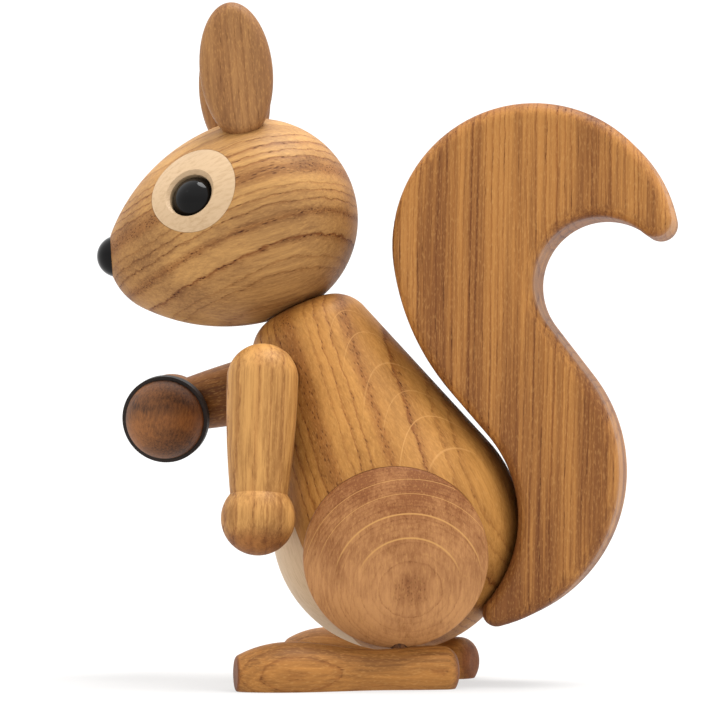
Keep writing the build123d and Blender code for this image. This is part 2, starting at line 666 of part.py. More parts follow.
pieces = {
    "body": body(),
    "belly_inlay": belly(),
    "tail": tail(),
    "head": head(),
    "nose_bead": nose_bead(),
    "neck_dowel": neck_dowel(),
    "neck_friction_ring": friction_ring(
        NECK, NECK_DOWEL_DIAMETER / 2 + RUN_GAP, -NECK_DOWEL_IN_BODY / 2
    ),
    "acorn_cap": acorn_cap(),
    "acorn_nut": acorn_nut(),
    "acorn_pin": dowel(*acorn_joint()),
}
for name, step in TAIL_DOWELS.items():
    pieces[name] = dowel(*tail_joint(step))
for name, side in SIDES.items():
    pieces[f"{name}_haunch"] = finished_haunch(side)
    pieces[f"{name}_hip_dowel"] = dowel(*hip(side))
    pieces[f"{name}_foot"] = foot(side)
    pieces[f"{name}_ankle_dowel"] = dowel(*ankle(side))
    pieces[f"{name}_ear"] = ear(side)
    pieces[f"{name}_ear_dowel"] = dowel(*ear_joint(side))
    pieces[f"{name}_eye_disc"] = eye_disc(side)
    pieces[f"{name}_eye_bead"] = eye_bead(side)
    pieces[f"{name}_arm"] = arm(side)
    pieces[f"{name}_shoulder_dowel"] = shoulder_dowel(side)
    pieces[f"{name}_shoulder_ring"] = shoulder_ring(side)

os.makedirs("parts", exist_ok=True)
for name, shape in pieces.items():
    export_step(shape, f"parts/{name}.step")
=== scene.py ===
"""Looks of a turned oak squirrel: solid grain cut from logs, inlays, beads and a studio."""

import json
from math import cos, radians, sin

import bpy
from bpy.props import FloatProperty, FloatVectorProperty, PointerProperty, StringProperty
from bpy.types import Operator, Panel, PropertyGroup
from mathutils import Matrix, Vector


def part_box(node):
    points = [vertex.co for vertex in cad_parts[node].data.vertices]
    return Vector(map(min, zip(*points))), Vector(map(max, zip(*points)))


bl_info = {
    "name": "Oak squirrel figurine",
    "version": (1, 0, 0),
    "blender": (4, 5, 0),
    "location": "3D View > Sidebar > Squirrel",
    "description": "Finishes a turned oak squirrel and lights it on a pale floor",
    "category": "Object",
}

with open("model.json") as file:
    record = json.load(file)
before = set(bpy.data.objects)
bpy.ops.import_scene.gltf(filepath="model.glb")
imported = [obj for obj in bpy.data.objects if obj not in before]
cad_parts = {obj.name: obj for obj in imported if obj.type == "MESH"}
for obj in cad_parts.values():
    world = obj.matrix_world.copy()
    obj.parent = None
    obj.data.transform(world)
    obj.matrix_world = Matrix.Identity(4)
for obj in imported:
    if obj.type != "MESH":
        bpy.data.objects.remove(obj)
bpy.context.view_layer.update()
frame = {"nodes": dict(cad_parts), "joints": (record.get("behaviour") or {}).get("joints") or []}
JOINTS = {joint["name"]: joint for joint in frame["joints"]}
MM = 0.001

# The figure faces -X, and its left side is at -Y
FORWARD = Vector((-1, 0, 0))
SIDEWAYS = Vector((0, 1, 0))
UP = Vector((0, 0, 1))
SIDES = {"left": -1, "right": 1}
BODY_AXIS = Vector(JOINTS["head_swivel"]["axis"])
BODY_BACK = SIDEWAYS.cross(BODY_AXIS)
LEFT_ARM_AXIS = Vector(JOINTS["left_shoulder"]["axis"])
RIGHT_ARM_AXIS = Vector(JOINTS["right_shoulder"]["axis"])

OILED_WOOD_IOR = 1.47
RESIN_IOR = 1.5


def middle(node_name):
    """The middle of a node's box."""
    low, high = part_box(node_name)
    return (low + high) / 2


def linear(hex_colour):
    """A linear colour with alpha from an sRGB hex value."""
    channels = [int(hex_colour[i:i + 2], 16) / 255 for i in (1, 3, 5)]
    return [c / 12.92 if c <= 0.04045 else ((c + 0.055) / 1.055) ** 2.4 for c in channels] + [1.0]


def node(tree, kind, inputs=None, **settings):
    """Adds a node, sets it and links it: an input is a constant, a socket or a node's first output."""
    made = tree.nodes.new("ShaderNode" + kind)
    for name, value in settings.items():
        setattr(made, name, value)
    for name, value in (inputs or {}).items():
        if isinstance(value, bpy.types.Node):
            value = value.outputs[0]
        if isinstance(value, bpy.types.NodeSocket):
            tree.links.new(value, made.inputs[name])
        else:
            made.inputs[name].default_value = value
    return made


def new_material(name):
    """An empty material and its node tree."""
    material = bpy.data.materials.new(name)
    material.use_nodes = True
    material.node_tree.nodes.clear()
    return material, material.node_tree


def dress(node_name, material):
    """Puts a material in every slot of a node of the figure."""
    for slot in frame["nodes"][node_name].material_slots:
        slot.material = material


def log_frame(grain, rings):
    """Turns a log so that its Z is the grain and its Y the way across the rings."""
    along = Vector(grain).normalized()
    across = Vector(rings)
    across = (across - along * across.dot(along)).normalized()
    return Matrix((across.cross(along), across, along)).transposed()


def log_place(tree, turn, pith):
    """A piece's place in the frame of its log, in millimetres from the pith."""
    piece = node(tree, "TexCoord")
    return node(tree, "Mapping", {
        "Vector": piece.outputs["Object"], "Location": pith, "Rotation": turn.to_euler(),
        "Scale": (MM, MM, MM),
    }, vector_type="TEXTURE")


class OakFinish(PropertyGroup):
    """Oiled oak, the same for every piece; its dark tints are multiplied on a board's own colours."""
    early: StringProperty(
        name="Earlywood", description="sRGB tint of the porous rings", default="#a97e58")
    pore: StringProperty(name="Pores", description="sRGB tint of the open pores", default="#7d5333")
    end: StringProperty(
        name="End grain", description="sRGB tint that the oil gives end grain", default="#b39078")
    ray: StringProperty(name="Rays", description="sRGB colour of the medullary rays", default="#c89557")
    pore_pitch: FloatProperty(
        name="Pore pitch", description="Spacing of the pores; wider than the real 0.3 mm, to show",
        default=0.42 * MM, unit="LENGTH")
    pore_length: FloatProperty(
        name="Pore length", description="Length of a pore where streaks run 12 mm",
        default=2.2 * MM, unit="LENGTH")
    fleck_pitch: FloatProperty(
        name="Fleck pitch", description="Spacing of the fine light flecks; drawn coarse, to show",
        default=0.26 * MM, unit="LENGTH")
    fleck_length: FloatProperty(
        name="Fleck length", description="Length of a fleck along the grain",
        default=0.9 * MM, unit="LENGTH")
    ray_pitch: FloatProperty(
        name="Ray pitch", description="Spacing of the wide rays", default=2.0 * MM, unit="LENGTH")
    ray_thickness: FloatProperty(
        name="Ray thickness", description="Thickness of a wide ray", default=0.09 * MM, unit="LENGTH")
    groove_depth: FloatProperty(
        name="Groove depth", description="Depth of the open grain", default=0.12 * MM, unit="LENGTH")
    roughness: FloatProperty(
        name="Roughness", description="Of the oiled surface", default=0.52, min=0, max=1,
        subtype="FACTOR")
    pore_roughness: FloatProperty(
        name="Pore roughness", description="How much rougher the pores are", default=0.2, min=0, max=1,
        subtype="FACTOR")
    reflection: FloatProperty(
        name="Reflection", description="Specular level of the oiled surface", default=0.2, min=0, max=1,
        subtype="FACTOR")


# Changes of the oak's patterns in a millimetre, two ways across the grain and then along it:
# rings wander over about 20 mm across and 55 mm along, and shiver over about 1.4 mm and 3 mm
DRIFT_RATE = (0.05, 0.05, 0.018)
SHIVER_RATE = (0.7, 0.7, 0.3)
# Streaks lie about 0.6 mm apart and slow tones about 6 mm, which go on 2.5 times as far along the grain
STREAK_RATE = 1.7
TONE_RATE = 0.16
TONE_SHORTNESS = 0.4
# The spacing of the rays changes over about 3 mm
RAY_DRIFT_RATE = 0.35

# How far the rings wander, in millimetres, and shiver and differ in width, in rings
DRIFT_REACH = 5.0
SHIVER_REACH = 0.55
YEAR_REACH = 2.0
YEAR_RATE = 0.45

# How porous a ring is at both its edges, and at some places from its start to its end
RING_EDGE = 0.55
RING_COURSE = ((0.06, 1.0), (0.16, 0.55), (0.34, 0.16), (0.65, 0.0), (0.92, 0.05))

# The run of a streak, in millimetres, at which pores have the length that is set for them
USUAL_RUN = 12.0
# Rays set in over this many millimetres each side of their lowest place
RAY_START = 3.0
# Half the range of tones between a board's deep and its pale colour
TONE_SPREAD = 0.24
# How dark rings and pores may get, and how deep pores and streaks lie beside the rings
LINE_SHADE = 0.9
PORE_DEPTH = 0.5
STREAK_DEPTH = -0.7


def growth_rings(tree, log, ring_width, wander):
    """How porous the wood is, ring by ring: most at the start of a ring, and not the same each year.

    The rings wander a little along and across the log, shiver from fibre to fibre and differ in width.
    """
    drift_place = node(tree, "VectorMath", {0: log, 1: DRIFT_RATE}, operation="MULTIPLY")
    drift = node(tree, "TexNoise", {"Vector": drift_place, "Scale": 1.0, "Detail": 2.0})
    drift_off = node(tree, "VectorMath", {
        0: drift.outputs["Color"], 1: (0.5, 0.5, 0.5),
    }, operation="SUBTRACT")
    drift_far = node(tree, "VectorMath", {
        0: drift_off, "Scale": DRIFT_REACH * wander,
    }, operation="SCALE")
    wavy = node(tree, "VectorMath", {0: log, 1: drift_far}, operation="ADD")
    flat = node(tree, "VectorMath", {0: wavy, 1: (1, 1, 0)}, operation="MULTIPLY")
    radius = node(tree, "VectorMath", {0: flat}, operation="LENGTH")
    shiver_place = node(tree, "VectorMath", {0: log, 1: SHIVER_RATE}, operation="MULTIPLY")
    shiver = node(tree, "TexNoise", {
        "Vector": shiver_place, "Scale": 1.0, "Detail": 4.0, "Roughness": 0.6,
    })
    shivered = node(tree, "Math", {
        0: shiver.outputs["Fac"], 1: SHIVER_REACH * ring_width, 2: radius.outputs["Value"],
    }, operation="MULTIPLY_ADD")
    year = node(tree, "TexNoise", {
        "W": shivered, "Scale": YEAR_RATE / ring_width, "Detail": 1.0,
    }, noise_dimensions="1D")
    uneven = node(tree, "Math", {
        0: year.outputs["Fac"], 1: YEAR_REACH * ring_width, 2: shivered,
    }, operation="MULTIPLY_ADD")
    count = node(tree, "Math", {0: uneven, 1: ring_width}, operation="DIVIDE")
    season = node(tree, "Math", {0: count}, operation="FRACT")
    number = node(tree, "Math", {0: count}, operation="FLOOR")
    growth = node(tree, "TexWhiteNoise", {"W": number}, noise_dimensions="1D")
    strength = node(tree, "MapRange", {"Value": growth.outputs["Value"], "To Min": 0.35, "To Max": 1.0})
    spring = node(tree, "ValToRGB", {"Fac": season})
    for edge in spring.color_ramp.elements:
        edge.color = (RING_EDGE, RING_EDGE, RING_EDGE, 1)
    for position, value in RING_COURSE:
        spring.color_ramp.elements.new(position).color = (value, value, value, 1)
    return node(tree, "Math", {0: spring, 1: strength}, operation="MULTIPLY")


def open_pores(tree, log, ring, run):
    """Thin cells along the grain, crowded in the spring growth and sparse after it."""
    look = bpy.context.scene.squirrel_oak
    across = MM / look.pore_pitch
    along = USUAL_RUN * MM / run / look.pore_length
    pore_place = node(tree, "VectorMath", {0: log, 1: (across, across, along)}, operation="MULTIPLY")
    cells = node(tree, "TexVoronoi", {"Vector": pore_place, "Scale": 1.0, "Randomness": 1.0})
    open_pore = node(tree, "MapRange", {
        "Value": cells.outputs["Distance"],
        "From Min": 0.15, "From Max": 0.4, "To Min": 1.0, "To Max": 0.0,
    }, interpolation_type="SMOOTHSTEP")
    crowd = node(tree, "MapRange", {
        "Value": ring, "From Min": 0.2, "From Max": 0.75, "To Min": 0.1, "To Max": 1.0,
    })
    return node(tree, "Math", {0: open_pore, 1: crowd}, operation="MULTIPLY")


def board_tones(tree, log, streak, run, streaks, fade, fade_from):
    """How pale the board is: streaks along the grain, slow changes of tone, and its fade."""
    tone_rate = (TONE_RATE, TONE_RATE, TONE_SHORTNESS / run)
    slow_place = node(tree, "VectorMath", {0: log, 1: tone_rate}, operation="MULTIPLY")
    slow = node(tree, "TexNoise", {"Vector": slow_place, "Scale": 1.0, "Detail": 2.0})
    tone = node(tree, "Math", {0: streak.outputs["Fac"], 1: slow.outputs["Fac"]}, operation="ADD")
    piece = node(tree, "TexCoord")
    away = node(tree, "VectorMath", {0: piece.outputs["Object"], 1: fade_from}, operation="SUBTRACT")
    slope = node(tree, "VectorMath", {0: away, 1: fade}, operation="DOT_PRODUCT")
    faded = node(tree, "Math", {0: tone, 1: slope.outputs["Value"]}, operation="SUBTRACT")
    spread = TONE_SPREAD / streaks
    return node(tree, "MapRange", {"Value": faded, "From Min": 1.0 - spread, "From Max": 1.0 + spread})


def light_flecks(tree, log):
    """Fine light flecks along the grain."""
    look = bpy.context.scene.squirrel_oak
    across = MM / look.fleck_pitch
    along = MM / look.fleck_length
    fleck_place = node(tree, "VectorMath", {0: log, 1: (across, across, along)}, operation="MULTIPLY")
    fleck = node(tree, "TexNoise", {"Vector": fleck_place, "Scale": 1.0, "Detail": 1.0})
    return node(tree, "MapRange", {
        "Value": fleck.outputs["Fac"], "From Min": 0.5, "From Max": 0.75, "To Min": 0.0, "To Max": 0.26,
    }, interpolation_type="SMOOTHSTEP")


def ray_sheets(tree, log, turn, strength, way, facing, low):
    """Thin light sheets square to a way, seen above a height where the surface nearly follows them."""
    look = bpy.context.scene.squirrel_oak
    way = Vector(way).normalized()
    side = node(tree, "VectorMath", {0: log, 1: turn.transposed() @ way}, operation="DOT_PRODUCT")
    drift = node(tree, "TexNoise", {
        "W": side.outputs["Value"], "Scale": RAY_DRIFT_RATE,
    }, noise_dimensions="1D")
    count = node(tree, "Math", {
        0: side.outputs["Value"], 1: MM / look.ray_pitch, 2: drift.outputs["Fac"],
    }, operation="MULTIPLY_ADD")
    number = node(tree, "Math", {0: count}, operation="FLOOR")
    chance = node(tree, "TexWhiteNoise", {"W": number}, noise_dimensions="1D")
    size = node(tree, "MapRange", {
        "Value": chance.outputs["Value"], "To Min": 0.4 * strength, "To Max": strength,
    })
    phase = node(tree, "Math", {0: count}, operation="FRACT")
    off = node(tree, "Math", {0: phase, 1: 0.5}, operation="SUBTRACT")
    far = node(tree, "Math", {0: off}, operation="ABSOLUTE")
    half = look.ray_thickness / look.ray_pitch / 2
    ray = node(tree, "MapRange", {
        "Value": far, "From Min": 0.3 * half, "From Max": 1.7 * half, "To Min": 1.0, "To Max": 0.0,
    }, interpolation_type="SMOOTHSTEP")
    piece = node(tree, "TexCoord")
    lying = node(tree, "VectorMath", {0: piece.outputs["Normal"], 1: way}, operation="DOT_PRODUCT")
    lying_size = node(tree, "Math", {0: lying.outputs["Value"]}, operation="ABSOLUTE")
    seen = node(tree, "MapRange", {
        "Value": lying_size, "From Min": facing[0], "From Max": facing[1],
    }, interpolation_type="SMOOTHSTEP")
    heights = node(tree, "SeparateXYZ", {0: log})
    high = node(tree, "MapRange", {
        "Value": heights.outputs["Z"], "From Min": low - RAY_START, "From Max": low + RAY_START,
    }, interpolation_type="SMOOTHSTEP")
    for share in (size, seen, high):
        ray = node(tree, "Math", {0: ray, 1: share}, operation="MULTIPLY")
    return ray


def oiled_ends(tree, turn, strength, facing, one_end):
    """End grain, which drinks more oil and turns darker."""
    piece = node(tree, "TexCoord")
    along = node(tree, "VectorMath", {
        0: piece.outputs["Normal"], 1: turn.col[2],
    }, operation="DOT_PRODUCT")
    towards = along.outputs["Value"]
    if not one_end:
        towards = node(tree, "Math", {0: towards}, operation="ABSOLUTE")
    return node(tree, "MapRange", {
        "Value": towards,
        "From Min": facing[0], "From Max": facing[1], "To Min": 0.0, "To Max": strength,
    }, interpolation_type="SMOOTHSTEP")


def oak(name, board, grain, rings, pith, ring_width, run, wander, end_grain, lines=1.0, streaks=1.0,
        fade=(0, 0, 0), fade_from=(0, 0, 0), rays=None, end_facing=(0.4, 0.95), one_end=False):
    """Oiled oak cut from a log: rings round the pith, rows of pores along the grain, light rays across.

    Turned and sanded, so the pores of the spring growth show as dark dashes, as dots on end grain, and
    the fibres between them as fine streaks. Lengths inside the tree are millimetres in the log's frame.
    A board is its deep and its pale colour, run is how far a streak goes on along the grain, and fade
    the way in which the board darkens, and how much in a metre; on the head the fade is painted shade,
    and on the haunches partly painted light. With one_end, only the end that the grain points to is dark.
    """
    look = bpy.context.scene.squirrel_oak
    turn = log_frame(grain, rings)
    material, tree = new_material(name)
    log = log_place(tree, turn, pith)
    ring = growth_rings(tree, log, ring_width, wander)
    pores = open_pores(tree, log, ring, run)
    streak_place = node(tree, "VectorMath", {
        0: log, 1: (STREAK_RATE, STREAK_RATE, 1 / run),
    }, operation="MULTIPLY")
    streak = node(tree, "TexNoise", {
        "Vector": streak_place, "Scale": 1.0, "Detail": 5.0, "Roughness": 0.68,
    })
    shade = board_tones(tree, log, streak, run, streaks, fade, fade_from)
    darkness = LINE_SHADE * lines
    ring_shade = node(tree, "Math", {0: ring, 1: darkness}, operation="MULTIPLY", use_clamp=True)
    pore_shade = node(tree, "Math", {0: pores, 1: darkness}, operation="MULTIPLY", use_clamp=True)

    deep, pale = board
    layers = [
        (shade, pale, "MIX"),
        (ring_shade, look.early, "MULTIPLY"),
        (pore_shade, look.pore, "MULTIPLY"),
        (light_flecks(tree, log), look.ray, "MIX"),
        (oiled_ends(tree, turn, end_grain, end_facing, one_end), look.end, "MULTIPLY"),
    ]
    if rays:
        layers.append((ray_sheets(tree, log, turn, **rays), look.ray, "MIX"))
    colour = linear(deep)
    for amount, tint, blend in layers:
        layer = node(tree, "Mix", {
            0: amount, 6: colour, 7: linear(tint),
        }, data_type="RGBA", blend_type=blend)
        colour = layer.outputs[2]

    gloss = node(tree, "MapRange", {
        "Value": pores, "To Min": look.roughness,
        "To Max": min(1.0, look.roughness + look.pore_roughness),
    })
    grooves = node(tree, "Math", {0: pores, 1: PORE_DEPTH, 2: ring_shade}, operation="MULTIPLY_ADD")
    depth = node(tree, "Math", {
        0: streak.outputs["Fac"], 1: STREAK_DEPTH, 2: grooves,
    }, operation="MULTIPLY_ADD")
    relief = node(tree, "Bump", {
        "Height": depth, "Strength": 0.4, "Distance": look.groove_depth,
    }, invert=True)
    surface = node(tree, "BsdfPrincipled", {
        "Base Color": colour, "Roughness": gloss, "Normal": relief, "IOR": OILED_WOOD_IOR,
        "Specular IOR Level": look.reflection,
    })
    node(tree, "OutputMaterial", {"Surface": surface})
    return material


class InlayFinish(PropertyGroup):
    """Oiled maple of the belly and eyes."""
    wood: StringProperty(name="Wood", description="sRGB colour of the maple", default="#c2a582")
    streak: StringProperty(
        name="Streaks", description="sRGB colour of its fine streaks", default="#a08058")
    groove_depth: FloatProperty(
        name="Groove depth", description="Depth of the fine streaks", default=0.05 * MM, unit="LENGTH")
    roughness: FloatProperty(
        name="Roughness", description="Of the oiled surface", default=0.48, min=0, max=1,
        subtype="FACTOR")
    reflection: FloatProperty(
        name="Reflection", description="Specular level of the oiled surface", default=0.3, min=0, max=1,
        subtype="FACTOR")


# Changes in a millimetre: the maple's flecks are 0.5 mm apart and 4 mm long, its slow tones 8 mm apart
MAPLE_FLECK_RATE = (2.0, 2.0, 0.25)
MAPLE_TONE_RATE = 0.12


def maple(name, grain, rings, pith):
    """Oiled maple: pale and close, with fine short flecks along the grain."""
    look = bpy.context.scene.squirrel_inlay
    material, tree = new_material(name)
    log = log_place(tree, log_frame(grain, rings), pith)
    fleck_place = node(tree, "VectorMath", {0: log, 1: MAPLE_FLECK_RATE}, operation="MULTIPLY")
    fleck = node(tree, "TexNoise", {
        "Vector": fleck_place, "Scale": 1.0, "Detail": 4.0, "Roughness": 0.65,
    })
    streak = node(tree, "MapRange", {"Value": fleck.outputs["Fac"], "From Min": 0.46, "From Max": 0.72})
    slow = node(tree, "TexNoise", {"Vector": log, "Scale": MAPLE_TONE_RATE, "Detail": 1.0})
    tone = node(tree, "Math", {0: streak, 1: slow.outputs["Fac"]}, operation="MULTIPLY")
    colour = node(tree, "Mix", {
        0: tone, 6: linear(look.wood), 7: linear(look.streak),
    }, data_type="RGBA")
    relief = node(tree, "Bump", {
        "Height": streak, "Strength": 0.1, "Distance": look.groove_depth,
    }, invert=True)
    surface = node(tree, "BsdfPrincipled", {
        "Base Color": colour.outputs[2], "Roughness": look.roughness, "Normal": relief,
        "IOR": OILED_WOOD_IOR, "Specular IOR Level": look.reflection,
    })
    node(tree, "OutputMaterial", {"Surface": surface})
    return material


class BeadFinish(PropertyGroup):
    """Polished black of the eyes and nose."""
    colour: StringProperty(name="Colour", description="sRGB colour of the beads", default="#060505")
    roughness: FloatProperty(
        name="Roughness", description="Of the polished surface", default=0.06, min=0, max=1,
        subtype="FACTOR")
    dust_roughness: FloatProperty(
        name="Dust roughness", description="How much rougher dust makes it", default=0.06, min=0, max=1,
        subtype="FACTOR")
    dust_pitch: FloatProperty(
        name="Dust pitch", description="Spacing of the patches of dust", default=MM / 0.9, unit="LENGTH")
    reflection: FloatProperty(
        name="Reflection", description="Specular level of the polished surface", default=0.16,
        min=0, max=1, subtype="FACTOR")


def polished_black(name):
    """Cast black resin, polished: a deep black with sharp reflections and a little dust in its gloss."""
    look = bpy.context.scene.squirrel_bead
    material, tree = new_material(name)
    piece = node(tree, "TexCoord")
    dust = node(tree, "TexNoise", {
        "Vector": piece.outputs["Object"], "Scale": 1 / look.dust_pitch, "Detail": 3.0,
    })
    gloss = node(tree, "MapRange", {
        "Value": dust.outputs["Fac"], "To Min": look.roughness,
        "To Max": look.roughness + look.dust_roughness,
    })
    surface = node(tree, "BsdfPrincipled", {
        "Base Color": linear(look.colour), "Roughness": gloss, "IOR": RESIN_IOR,
        "Specular IOR Level": look.reflection,
    })
    node(tree, "OutputMaterial", {"Surface": surface})
    return material


class BodyGrain(PropertyGroup):
    """How the body and its haunches were cut from the log."""
    wood: StringProperty(name="Wood", description="sRGB deep colour of the body", default="#95652e")
    light: StringProperty(
        name="Light wood", description="sRGB pale colour of the body", default="#ba8443")
    ring_width: FloatProperty(name="Ring width", description="Body", default=2.8 * MM, unit="LENGTH")
    pith_ahead: FloatProperty(
        name="Pith ahead", description="From the body's middle to the pith", default=0.09, unit="LENGTH")
    ray_turn: FloatProperty(
        name="Ray turn", description="The body's rays face this far behind its side",
        default=radians(48), subtype="ANGLE")
    haunch_wood: StringProperty(
        name="Haunch wood", description="sRGB deep colour of a haunch", default="#84512c")
    haunch_light: StringProperty(
        name="Light haunch wood", description="sRGB pale colour of a haunch", default="#bc8755")
    # Darker upwards: partly a haunch's own tone, partly painted light that makes its lower part paler as
    # if lit from the floor below
    haunch_fade: FloatProperty(
        name="Haunch fade", description="How much a haunch darkens upwards in a metre", default=22)
    haunch_ring_width: FloatProperty(
        name="Haunch ring width", description="Haunch", default=0.45 * MM, unit="LENGTH")
    haunch_pith_inside: FloatProperty(
        name="Haunch pith inside", description="From a haunch's middle in to the pith",
        default=0.3, unit="LENGTH")
    haunch_ring_drop: FloatProperty(
        name="Haunch ring drop", description="A haunch's rings face this far below level",
        default=radians(20.5), subtype="ANGLE")
    haunch_ring_turn: FloatProperty(
        name="Haunch ring turn", description="A haunch's rings face this far behind its side",
        default=radians(14), subtype="ANGLE")


class SQUIRREL_OT_body(Operator):
    """Finish the body, its belly inlay and its two haunches"""
    bl_idname = "squirrel.body"
    bl_label = "Body"

    def execute(self, context):
        grain = context.scene.squirrel_body
        centre = middle("body")
        ray_way = BODY_BACK * sin(grain.ray_turn) - SIDEWAYS * cos(grain.ray_turn)
        dress("body", oak(
            "oak_body", (grain.wood, grain.light), BODY_AXIS, BODY_BACK,
            centre - BODY_BACK * grain.pith_ahead, grain.ring_width / MM, run=14, wander=0.6,
            end_grain=0.3,
            rays={"strength": 0.75, "way": ray_way, "facing": (0.74, 0.91), "low": -3.0}))
        dress("belly_inlay", maple("maple_belly", BODY_AXIS, SIDEWAYS, centre))
        turn = grain.haunch_ring_turn
        drop = grain.haunch_ring_drop
        for name, side in SIDES.items():
            level = Vector((sin(turn), side * cos(turn), 0))
            outward = level * cos(drop) - UP * sin(drop)
            upward = level * sin(drop) + UP * cos(drop)
            haunch = middle(f"{name}_haunch")
            # The haunch's fade is partly painted light from below
            dress(f"{name}_haunch", oak(
                f"oak_{name}_haunch", (grain.haunch_wood, grain.haunch_light), upward, outward,
                haunch - outward * grain.haunch_pith_inside, grain.haunch_ring_width / MM,
                run=4, wander=0.04, end_grain=0.2, lines=0.4, streaks=0.75,
                fade=UP * grain.haunch_fade, fade_from=haunch,
                rays={"strength": 0.85, "way": outward, "facing": (0.4, 0.6), "low": 0.0}))
        return {"FINISHED"}


class TailGrain(PropertyGroup):
    """How the tail was sawn from the board."""
    wood: StringProperty(name="Wood", description="sRGB deep colour of the tail", default="#7d4d25")
    light: StringProperty(
        name="Light wood", description="sRGB pale colour of the tail", default="#af783d")
    fade_down: FloatProperty(
        name="Fade down", description="How much the tail darkens downwards in a metre", default=2)
    along: FloatVectorProperty(
        name="Along", description="Along the grain", default=(0.02, 0, 1), subtype="DIRECTION")
    across: FloatVectorProperty(
        name="Across", description="Across the rings", default=(1, 0.35, 0), subtype="DIRECTION")
    ring_width: FloatProperty(name="Ring width", description="Tail", default=1.15 * MM, unit="LENGTH")
    pith_behind: FloatProperty(
        name="Pith behind", description="From the tail's middle to the pith",
        default=0.25, unit="LENGTH")


class SQUIRREL_OT_tail(Operator):
    """Finish the tail with upright grain"""
    bl_idname = "squirrel.tail"
    bl_label = "Tail"

    def execute(self, context):
        grain = context.scene.squirrel_tail
        centre = middle("tail")
        dress("tail", oak(
            "oak_tail", (grain.wood, grain.light), grain.along, grain.across,
            centre - FORWARD * grain.pith_behind, grain.ring_width / MM, run=45, wander=0.5,
            end_grain=0.5, lines=0.8, streaks=1.5, fade=UP * -grain.fade_down, fade_from=centre))
        return {"FINISHED"}


class HeadGrain(PropertyGroup):
    """How the head and ears were cut."""
    wood: StringProperty(name="Wood", description="sRGB deep colour of the head", default="#8b633a")
    light: StringProperty(
        name="Light wood", description="sRGB pale colour of the head", default="#be9055")
    # The head's fade is painted shade: it darkens the head towards its chin as if lit from above
    fade_down: FloatProperty(
        name="Fade down", description="How much the head darkens to its chin in a metre", default=7)
    ring_width: FloatProperty(name="Ring width", description="Head", default=2.4 * MM, unit="LENGTH")
    pith_above: FloatProperty(
        name="Pith above", description="From the head's middle up to the pith",
        default=0.075, unit="LENGTH")
    pith_beyond: FloatProperty(
        name="Pith beyond", description="From the head's middle across to the pith",
        default=0.008, unit="LENGTH")
    ear_wood: StringProperty(
        name="Ear wood", description="sRGB deep colour of an ear", default="#835a36")
    ear_light: StringProperty(
        name="Light ear wood", description="sRGB pale colour of an ear", default="#a37545")
    ear_along: FloatVectorProperty(
        name="Ear along", description="Along an ear's grain", default=(-0.07, 0, 1), subtype="DIRECTION")
    ear_across: FloatVectorProperty(
        name="Ear across", description="Across an ear's rings", default=(1, 0.3, 0), subtype="DIRECTION")
    ear_ring_width: FloatProperty(
        name="Ear ring width", description="Ear", default=2.0 * MM, unit="LENGTH")
    ear_pith_behind: FloatProperty(
        name="Ear pith behind", description="From an ear's middle to the pith",
        default=0.06, unit="LENGTH")


class SQUIRREL_OT_head(Operator):
    """Finish the head, its ears, eyes and nose"""
    bl_idname = "squirrel.head"
    bl_label = "Head"

    def execute(self, context):
        grain = context.scene.squirrel_head
        centre = middle("head")
        nose_way = middle("nose_bead") - centre
        brow = SIDEWAYS.cross(nose_way).normalized()
        pith = centre + brow * grain.pith_above + SIDEWAYS * grain.pith_beyond
        # The fade paints shade on the head's lower part
        dress("head", oak(
            "oak_head", (grain.wood, grain.light), nose_way, brow, pith, grain.ring_width / MM,
            run=12, wander=0.8, end_grain=0.3, lines=1.15, streaks=0.85,
            fade=brow * -grain.fade_down, fade_from=centre))
        black = polished_black("black_bead")
        dress("nose_bead", black)
        for name in SIDES:
            ear_pith = middle(f"{name}_ear") - FORWARD * grain.ear_pith_behind
            dress(f"{name}_ear", oak(
                f"oak_{name}_ear", (grain.ear_wood, grain.ear_light), grain.ear_along, grain.ear_across,
                ear_pith, grain.ear_ring_width / MM, run=20, wander=1.2, end_grain=0.4, lines=0.5))
            eye = middle(f"{name}_eye_disc")
            dress(f"{name}_eye_disc", maple(f"maple_{name}_eye", nose_way, brow, eye))
            dress(f"{name}_eye_bead", black)
        return {"FINISHED"}


class LimbGrain(PropertyGroup):
    """How the arms and feet were cut."""
    wood: StringProperty(name="Wood", description="sRGB deep colour of the left arm", default="#926433")
    light: StringProperty(
        name="Light wood", description="sRGB pale colour of the left arm", default="#c49152")
    # Painted shade: the right arm is the same oak as the left, drawn darker for the shade that the body
    # casts on it
    shaded_right_wood: StringProperty(
        name="Right wood", description="sRGB deep colour of the right arm", default="#5d3510")
    shaded_right_light: StringProperty(
        name="Light right wood", description="sRGB pale colour of the right arm", default="#804f1c")
    left_across: FloatVectorProperty(
        name="Left across", description="Across the left arm's rings", default=(1, 0.2, 0),
        subtype="DIRECTION")
    right_across: FloatVectorProperty(
        name="Right across", description="Across the right arm's rings", default=(0, 0.3, 1),
        subtype="DIRECTION")
    ring_width: FloatProperty(name="Ring width", description="Arm", default=2.4 * MM, unit="LENGTH")
    pith_aside: FloatProperty(
        name="Pith aside", description="From an arm's middle across to the pith, about",
        default=0.05, unit="LENGTH")
    raised: FloatProperty(
        name="Raised", description="How far the right arm is raised at rest, which its grain follows",
        default=radians(77), subtype="ANGLE")
    foot_wood: StringProperty(
        name="Foot wood", description="sRGB deep colour of a foot", default="#794e24")
    foot_light: StringProperty(
        name="Light foot wood", description="sRGB pale colour of a foot", default="#b2793c")
    foot_ring_width: FloatProperty(
        name="Foot ring width", description="Foot", default=1.2 * MM, unit="LENGTH")
    foot_pith_inside: FloatProperty(
        name="Foot pith inside", description="From a foot's middle in to the pith",
        default=0.12, unit="LENGTH")
    foot_splay: FloatProperty(
        name="Foot splay", description="How far the toes turn out, which a foot's grain follows",
        default=radians(20.6), subtype="ANGLE")


